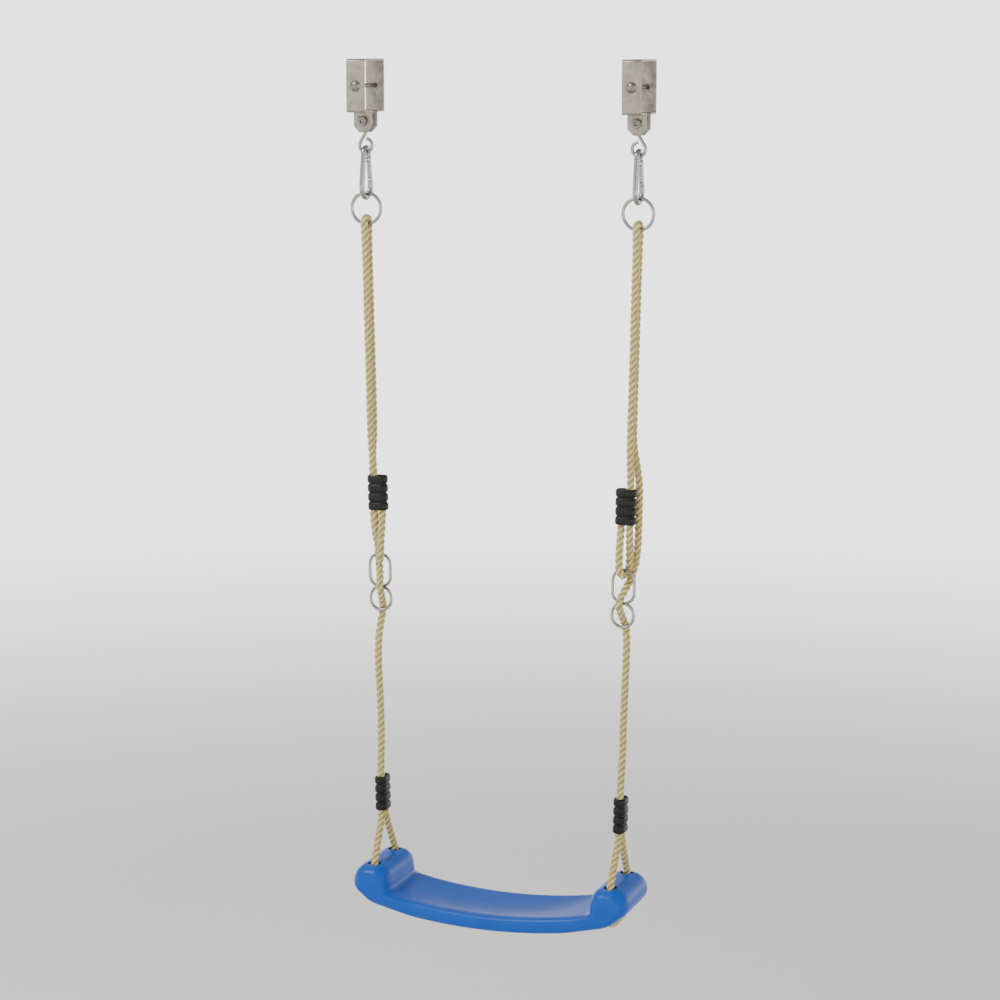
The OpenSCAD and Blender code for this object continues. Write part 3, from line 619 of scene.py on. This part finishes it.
class SWING_OT_sleeves(bpy.types.Operator):
    """Makes the four ribbed rubber sleeves, long-round in plan, that hold two runs of rope together."""
    bl_idname = "swing.sleeves"
    bl_label = "Rubber sleeves"

    def execute(self, context):
        fittings = context.scene.swing_fittings
        height, ribs = fittings.sleeve_height / MM, fittings.sleeve_ribs
        body_r, inner_r, strand, swell_r, sides = 7.4, 6.3, 6.2, 2.1, 48
        pitch = height / ribs
        profile = [(inner_r + 0.5, -height / 2 + 1), (body_r - 0.3, -height / 2 + 1)]
        for z in np.linspace(-height / 2 + 1.3, height / 2 - 1.3, 30 * ribs):
            within = abs((z + height / 2) / pitch % 1 - 0.5) / 0.42
            swell = max(0.0, 1 - within ** 2.6) ** 0.5 if within < 1 else 0
            profile.append((body_r + swell_r * swell, z))
        profile += [(body_r - 0.3, height / 2 - 1), (inner_r + 0.5, height / 2 - 1),
                    (inner_r, height / 2 - 1.5), (inner_r, -height / 2 + 1.5)]
        lean = math.atan(LINE_LEAN)
        for name, side in SIDES.items():
            for which, z, out, turned in (("upper", -560, -INSET, False), ("lower", -1016, 0, True)):
                centre = np.array((side * (line_x(z) + out), 0, z))
                tilt = side * lean
                vertices = []
                for radius, up in profile:
                    for a in np.linspace(0, 2 * math.pi, sides, endpoint=False):
                        x = radius * math.cos(a) + strand * np.sign(round(math.cos(a), 6))
                        y = radius * math.sin(a)
                        x, y = (-y, x) if turned else (x, y)
                        vertices.append(tuple((centre + (x * math.cos(tilt) + up * math.sin(tilt), y,
                                                         up * math.cos(tilt) - x * math.sin(tilt))) * MM))
                rows = len(profile)
                faces = [(i * sides + k, i * sides + (k + 1) % sides,
                          (i + 1) % rows * sides + (k + 1) % sides, (i + 1) % rows * sides + k)
                         for i in range(rows) for k in range(sides)]
                piece(f"{name}_{which}_ribbed_sleeve", vertices, faces, black_rubber, f"{name}_line",
                      "black_rubber", f"{name}_{which}_sleeve", sharp=60)
        return {"FINISHED"}


# Every hard part that keeps its CAD shape: its finish and slot
HARD_PARTS = {
    "strap": (galvanised_strip, "zinc_strap"),
    "strap_bolt": (zinc_bolt, "zinc_bolt"),
    "strap_washer": (zinc_bolt, "zinc_bolt"),
    "strap_nut": (zinc_bolt, "zinc_bolt"),
    "clevis_bolt": (zinc_bolt, "zinc_bolt"),
    "clevis_nut": (zinc_bolt, "zinc_bolt"),
    "hook_bush": (nylon, "nylon"),
    "gate": (zinc_wire, "zinc_wire"),
    "gate_pin": (zinc_bolt, "zinc_bolt"),
    "gate_plunger": (zinc_bolt, "zinc_bolt"),
    "gate_spring": (zinc_bolt, "spring_steel"),
    "ring": (zinc_wire, "zinc_wire"),
    "adjuster": (zinc_wire, "zinc_wire"),
}
ROUNDED_PARTS = ("strap", "strap_washer", "strap_nut", "clevis_nut", "clevis_bolt")


class SWING_OT_hard_parts(bpy.types.Operator):
    """Finishes the clamps, bolts, rings, gates and adjusters, and rounds the edges of the larger ones."""
    bl_idname = "swing.hard_parts"
    bl_label = "Clamps and fittings"

    def execute(self, context):
        width = context.scene.swing_fittings.edge
        for part, (make, slot_name) in HARD_PARTS.items():
            for name in SIDES:
                node = f"{name}_{part}"
                obj = frame["nodes"][node]
                if part in ROUNDED_PARTS:
                    self.rounded(obj, node, width, make, slot_name)
                else:
                    obj.data.materials.clear()
                    obj.data.materials.append(finish_of(make))
        return {"FINISHED"}

    def rounded(self, source, node, width, make, slot_name):
        """A copy of a hard part with its sharp edges rounded."""
        copy = bpy.data.objects.new(f"{node}_rounded", source.data.copy())
        bpy.context.scene.collection.objects.link(copy)
        shape = bmesh.new()
        shape.from_mesh(copy.data)
        bmesh.ops.remove_doubles(shape, verts=shape.verts, dist=1e-6)
        bmesh.ops.dissolve_limit(shape, angle_limit=math.radians(1), verts=shape.verts, edges=shape.edges)
        sharp = [e for e in shape.edges if len(e.link_faces) == 2 and e.calc_face_angle() > math.radians(40)]
        bmesh.ops.bevel(shape, geom=sharp, offset=width, segments=2, profile=0.5, affect="EDGES",
                        clamp_overlap=True)
        shape.to_mesh(copy.data)
        shape.free()
        if "custom_normal" in copy.data.attributes:
            copy.data.attributes.remove(copy.data.attributes["custom_normal"])
        dressed(copy, make, source["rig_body"], node)


class SWING_OT_seat(bpy.types.Operator):
    """Makes the blow-moulded seat: a dished pan with rolled edges between two raised, rounded ends, each
    with two flared holes for the rope."""
    bl_idname = "swing.seat"
    bl_label = "Seat"

    def execute(self, context):
        seat = context.scene.swing_seat
        outline = self.outline(seat)
        rows = [seat.depth / MM / 2 * math.sin(a) for a in np.linspace(-math.pi / 2, math.pi / 2, 61)]
        vertices = [v for y in rows for v in self.row(outline, seat, y)]
        n = len(outline)
        faces = [(j * n + i, j * n + (i + 1) % n, (j + 1) * n + (i + 1) % n, (j + 1) * n + i)
                 for j in range(len(rows) - 1) for i in range(n)]
        last = (len(rows) - 1) * n
        for quad in self.end_faces(n):
            faces += [quad[::-1], tuple(last + i for i in quad)]
        obj = piece("moulded_seat", vertices, faces, moulded_seat, "board", "seat_plastic", "seat", sharp=50)
        for side in SIDES.values():
            self.cut_holes(obj, side)
        obj.data.set_sharp_from_angle(angle=math.radians(50))
        return {"FINISHED"}

    def outline(self, seat):
        """The side outline in millimetres, from the pan's middle over the right end and round."""
        low = SEAT_LOW.z / MM
        top = low + seat.thickness / MM
        self.end_x = end_x = seat.length / MM / 2

        def pan(x):
            return top + x * x / PAN_CURVE

        def base(x):
            return low + x * x / BASE_CURVE

        self.base = base
        base_end = end_x - END_ROUND
        corners = [(PAN_END, pan(PAN_END)), (BOSS_IN - 2, pan(BOSS_IN - 2)), (BOSS_IN + 3, BOSS_TOP),
                   (end_x, BOSS_TOP), (end_x, BOSS_TOP - 34), (base_end, base(base_end)),
                   (base_end - END_ROUND, base(base_end - END_ROUND))]
        half = [(x, pan(x)) for x in np.linspace(0, PAN_END * 0.92, 16)]
        for k, radius in enumerate((11, 20, 24, 20, 60)):
            half += self.arc(*(np.array(c) for c in corners[k:k + 3]), radius)
        half += [(x, base(x)) for x in np.linspace(PAN_END, 0, 17)]
        return np.array(half + [(-x, z) for x, z in half[-2:0:-1]])

    def end_faces(self, n):
        """Quads across an end row of n points: a ladder between its top and base."""
        m = n // 2 + 1
        return [quad for k in range(m // 2 - 1) for quad in (
            (k, k + 1, m - 2 - k, m - 1 - k), (m - 1 + k, m + k, n - 1 - k, (n - k) % n))]

    def arc(self, a, b, c, radius):
        """Points of the arc that rounds corner b."""
        u, v = (a - b) / np.linalg.norm(a - b), (c - b) / np.linalg.norm(c - b)
        half = math.acos(float(u @ v)) / 2
        middle = b + (u + v) / np.linalg.norm(u + v) * radius / math.sin(half)
        p, q = b + u * radius / math.tan(half) - middle, b + v * radius / math.tan(half) - middle
        sweep = (math.pi - 2 * half) * (1 if p[0] * q[1] - p[1] * q[0] > 0 else -1)
        return [tuple(middle + (p[0] * math.cos(t) - p[1] * math.sin(t),
                                p[0] * math.sin(t) + p[1] * math.cos(t))) for t in np.linspace(0, sweep, 13)]

    def row(self, outline, seat, y):
        """One row of the seat at depth y: its edges rolled, its ends domed and its top dished."""
        depth, edge_r = seat.depth / MM / 2, seat.edge / MM
        ahead = np.roll(outline, -1, axis=0) - np.roll(outline, 1, axis=0)
        inward = np.stack([ahead[:, 1], -ahead[:, 0]], axis=1) / np.linalg.norm(ahead, axis=1)[:, None]

        def left(radius):
            over = max(0.0, abs(y) - (depth - radius)) / radius
            return max(0.0, 1 - over ** ROLL) ** (1 / ROLL)

        vertices = []
        for q, n in zip(outline, inward):
            middle = np.array((math.copysign(self.end_x - END_ROUND, q[0]), BOSS_MIDDLE_Z))
            t = min(1.0, max(0.0, (abs(q[0]) - PAN_END + 24) / 48))
            w = t * t * (3 - 2 * t)
            p = q + (1 - w) * n * edge_r * (1 - left(edge_r))
            p = p + w * (middle - q) * (1 - END_FACE) * (1 - left(DOME_RADIUS))
            on_top = q[1] > self.base(q[0]) + seat.thickness / MM / 2
            dish = max(0.0, 1 - (y / (depth - 12)) ** 2) * max(0.0, 1 - (q[0] / PAN_END) ** 4)
            vertices.append((p[0] * MM, y * MM, (p[1] - seat.dish / MM * dish * on_top) * MM))
        return vertices

    def cut_holes(self, obj, side):
        """Cuts the room for one rope, wider away from the level where the seat tilts."""
        route = placed(side, [(0, -33.5, -1101), *IN_SEAT, (0, 33.5, -1101)])
        points, _ = smooth_path(route, 0.0015)
        radii = (ROOM_RADIUS + ROOM_FLARE * np.abs(points[:, 2] / MM - TILT_Z)) * MM
        sides = 40
        radii = np.repeat(radii[:, None], sides, axis=1)
        angles = np.broadcast_to(np.linspace(0, 2 * math.pi, sides, endpoint=False), radii.shape)
        vertices, faces = swept(points, radii, angles)
        mesh = bpy.data.meshes.new("rope_room")
        mesh.from_pydata([tuple(v) for v in vertices], [], faces)
        cutter = bpy.data.objects.new("rope_room", mesh)
        bpy.context.scene.collection.objects.link(cutter)
        cut = obj.modifiers.new("rope_room", "BOOLEAN")
        cut.operation, cut.solver, cut.object = "DIFFERENCE", "EXACT", cutter
        shown = bpy.context.evaluated_depsgraph_get()
        cut_mesh = bpy.data.meshes.new_from_object(obj.evaluated_get(shown))
        obj.modifiers.clear()
        obj.data = cut_mesh
        bpy.data.objects.remove(cutter)


class SWING_OT_stage(bpy.types.Operator):
    """Makes the pale floor, the even sky and the three soft studio lights."""
    bl_idname = "swing.stage"
    bl_label = "Stage"

    def execute(self, context):
        stage = context.scene.swing_stage
        half, z = FLOOR_HALF, stage.floor_height
        mesh = bpy.data.meshes.new("studio_floor")
        mesh.from_pydata([(-half, -half, z), (half, -half, z), (half, half, z), (-half, half, z)], [],
                         [(0, 1, 2, 3)])
        mesh.materials.append(finish_of(pale_floor))
        floor = bpy.data.objects.new("studio_floor", mesh)
        context.scene.collection.objects.link(floor)
        world = bpy.data.worlds.new("studio")
        world.use_nodes = True
        world.node_tree.nodes.clear()
        up = add(world, "SeparateXYZ", {0: add(world, "TexCoord").outputs["Generated"]}).outputs["Z"]
        # Bright to a little above the horizon, and darker overhead, which gives the metal its contrast
        strength = add(world, "MapRange", {"Value": up, "From Min": 0.02, "From Max": 0.22, "To Min": 2.8,
                                           "To Max": 0.6})
        sky = add(world, "Background", {"Color": (1, 1, 1, 1), "Strength": strength.outputs[0]})
        add(world, "OutputWorld", {"Surface": sky.outputs[0]})
        context.scene.world = world
        for name, place, size, power in LIGHTS:
            data = bpy.data.lights.new(name, "AREA")
            data.shape, data.size, data.energy = "DISK", size, power
            light = bpy.data.objects.new(name, data)
            light.location = place
            light.rotation_euler = (Vector(LIT_POINT) - Vector(place)).to_track_quat("-Z", "Y").to_euler()
            context.scene.collection.objects.link(light)
        return {"FINISHED"}


OPERATORS = (SWING_OT_camera, SWING_OT_ropes, SWING_OT_hooks, SWING_OT_snap_hooks, SWING_OT_sleeves,
             SWING_OT_hard_parts, SWING_OT_seat, SWING_OT_stage)
SETTINGS = {"swing_rope": RopeSettings, "swing_fittings": FittingSettings, "swing_seat": SeatSettings,
            "swing_stage": StageSettings}


class SWING_PT_panel(bpy.types.Panel):
    """Lists the swing's pieces and their sizes in the sidebar."""
    bl_idname = "SWING_PT_panel"
    bl_label = "Board swing"
    bl_space_type = "VIEW_3D"
    bl_region_type = "UI"
    bl_category = "Swing"

    def draw(self, context):
        for operator in OPERATORS:
            self.layout.operator(operator.bl_idname)
        for key, group in SETTINGS.items():
            box = self.layout.box()
            for name in group.__annotations__:
                box.prop(getattr(context.scene, key), name)


CLASSES = (*SETTINGS.values(), *OPERATORS, SWING_PT_panel)


def register():
    for made in CLASSES:
        bpy.utils.register_class(made)
    for key, group in SETTINGS.items():
        setattr(bpy.types.Scene, key, bpy.props.PointerProperty(type=group))


def unregister():
    for key in SETTINGS:
        delattr(bpy.types.Scene, key)
    for made in reversed(CLASSES):
        bpy.utils.unregister_class(made)


def main():
    """Builds the swing."""
    register()
    for operator in OPERATORS:
        group, name = operator.bl_idname.split(".")
        getattr(getattr(bpy.ops, group), name)()


if __name__ == "__main__":
    main()
